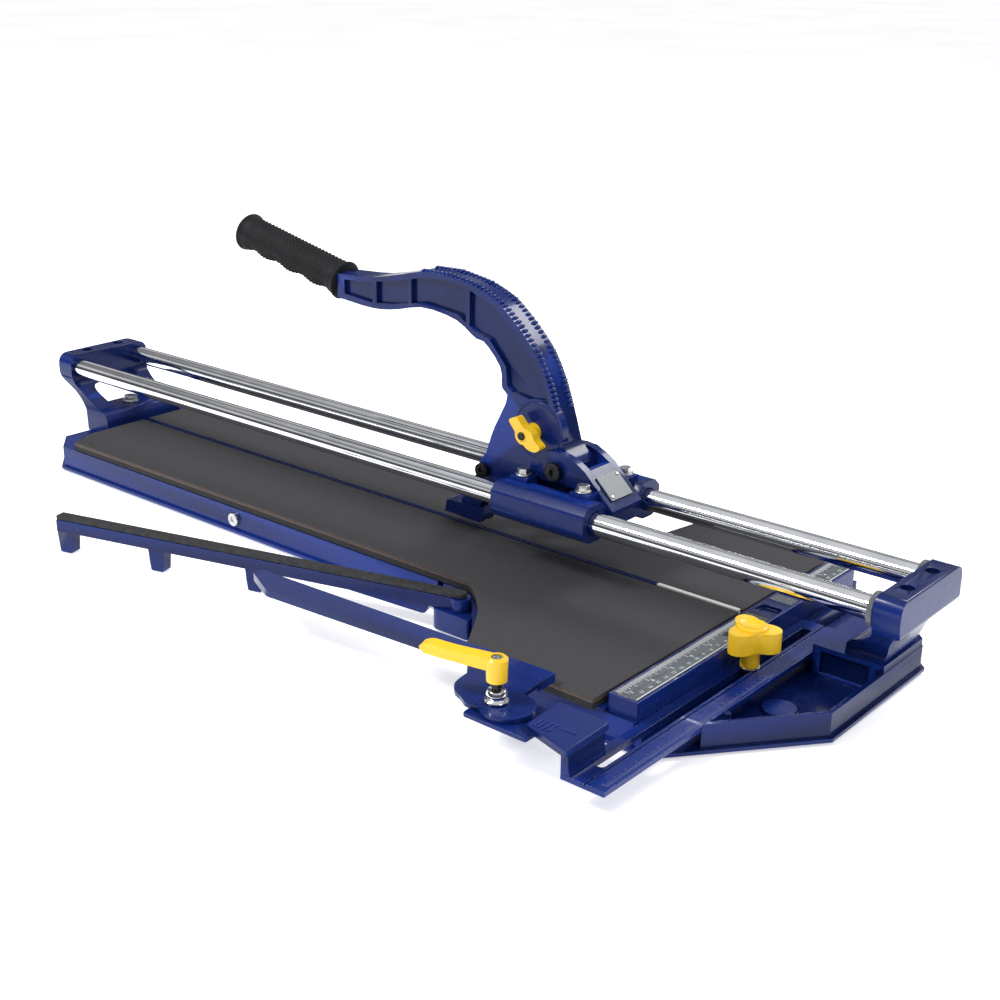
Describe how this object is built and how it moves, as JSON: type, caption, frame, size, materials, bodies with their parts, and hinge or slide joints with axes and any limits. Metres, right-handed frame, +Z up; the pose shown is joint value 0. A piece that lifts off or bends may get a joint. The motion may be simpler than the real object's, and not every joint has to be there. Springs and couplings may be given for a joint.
{
  "type": "tile cutter",
  "caption": "Manual tile cutter: twin chrome rails over rubber pads, sliding carriage with lever handle, angle stop on a sliding side guide, and a swinging support arm.",
  "frame": {"origin": "bottom face of the middle rubber foot, under the cut line, on the bench", "axes": "+X along the cut line towards the fence, +Y away from the operator, +Z up"},
  "size_m": [0.995, 0.4221, 0.2825],
  "materials": {
    "blue": "gloss navy paint on a casting",
    "rubber": "matt textured rubber",
    "foot": "matt",
    "chrome": "polished",
    "zinc": "zinc plated",
    "black_steel": "black oxide",
    "yellow": "moulded",
    "grip": "knobbly",
    "scale_plate": "satin with white divisions",
    "white": "matt",
    "bronze": "sintered bronze",
    "carbide": "ground",
    "bumper": "matt"
  },
  "bodies": {
    "base": {"base_casting": "blue", "end_casting": "blue", "rubber_foot_left_front": "foot", "rubber_foot_left_back": "foot", "rubber_foot_centre": "foot", "rubber_foot_right_front": "foot", "rubber_foot_right_back": "foot", "base_side_screw": "zinc", "front_pad": "rubber", "back_pad": "rubber", "breaking_rib": "blue", "cut_line_marker": "white", "fence": "blue", "front_ruler": "scale_plate", "centre_mark_plate": "scale_plate", "reference_plate": "scale_plate", "back_ruler": "scale_plate", "left_tower": "blue", "left_clamp_screw_front": "black_steel", "left_clamp_screw_back": "black_steel", "left_tower_bolt": "zinc", "right_tower": "blue", "right_clamp_screw_front": "black_steel", "right_clamp_screw_back": "black_steel", "right_tower_bolt": "zinc", "front_rail": "chrome", "back_rail": "chrome", "front_rail_bumper": "bumper", "back_rail_bumper": "bumper", "star_knob_stud": "black_steel", "star_knob_washer": "zinc", "support_arm_pin": "zinc"},
    "carriage": {"carriage_body": "blue", "handle_yoke": "blue", "front_bush": "bronze", "back_bush": "bronze", "front_left_yoke_bolt": "zinc", "front_right_yoke_bolt": "zinc", "back_left_yoke_bolt": "zinc", "back_right_yoke_bolt": "zinc", "square_plate": "scale_plate", "handle_pivot_pin": "black_steel"},
    "handle": {"handle_casting": "blue", "handle_grip": "grip", "wheel_holder": "zinc", "wheel_axle": "black_steel", "breaker_foot_pin": "black_steel"},
    "wing_knob": {"wing_knob": "yellow"},
    "scoring_wheel": {"scoring_wheel": "carbide"},
    "breaker_foot": {"breaker_foot": "blue"},
    "side_guide": {"slide_bar": "blue", "protractor_bracket": "blue", "clamp_spindle": "black_steel", "flange_washer": "chrome"},
    "stop_arm": {"stop_arm": "blue"},
    "clamp_lever": {"clamp_lever": "yellow", "clamp_lever_screw": "zinc"},
    "star_knob": {"star_knob": "yellow"},
    "support_arm": {"support_arm": "blue", "support_arm_pad": "rubber"}
  },
  "joints": [
    {"name": "carriage_slide", "type": "slide", "parent": "base", "child": "carriage", "axis": [1, 0, 0], "range_m": [-0.435, 0.235]},
    {"name": "handle_pivot", "type": "hinge", "parent": "carriage", "child": "handle", "pos_m": [0.167, 0, 0.1175], "axis": [0, 1, 0], "range_deg": [-3.5, 60]},
    {"name": "wing_knob_turn", "type": "hinge", "parent": "handle", "child": "wing_knob", "pos_m": [0.137, -0.02, 0.144], "axis": [0, 1, 0], "range_deg": [-90, 90]},
    {"name": "scoring_wheel_spin", "type": "hinge", "parent": "handle", "child": "scoring_wheel", "pos_m": [0.107, 0, 0.065], "axis": [0, 1, 0], "continuous": true},
    {"name": "breaker_foot_swing", "type": "hinge", "parent": "handle", "child": "breaker_foot", "pos_m": [0.082, 0, 0.097], "axis": [0, 1, 0], "range_deg": [0, 40]},
    {"name": "side_guide_slide", "type": "slide", "parent": "base", "child": "side_guide", "axis": [0, 1, 0], "range_m": [-0.06, 0.12]},
    {"name": "stop_arm_swing", "type": "hinge", "parent": "side_guide", "child": "stop_arm", "pos_m": [0.302, -0.256, 0.042], "axis": [0, 0, 1], "range_deg": [0, 45]},
    {"name": "clamp_lever_turn", "type": "hinge", "parent": "side_guide", "child": "clamp_lever", "pos_m": [0.302, -0.256, 0.068], "axis": [0, 0, 1], "range_deg": [-90, 90]},
    {"name": "star_knob_turn", "type": "hinge", "parent": "base", "child": "star_knob", "pos_m": [0.385, -0.058, 0.04], "axis": [0, 0, 1], "range_deg": [-360, 360]},
    {"name": "support_arm_swing", "type": "hinge", "parent": "base", "child": "support_arm", "pos_m": [0.15, -0.121, 0.025], "axis": [0, 0, 1], "range_deg": [-14, 60]}
  ]
}
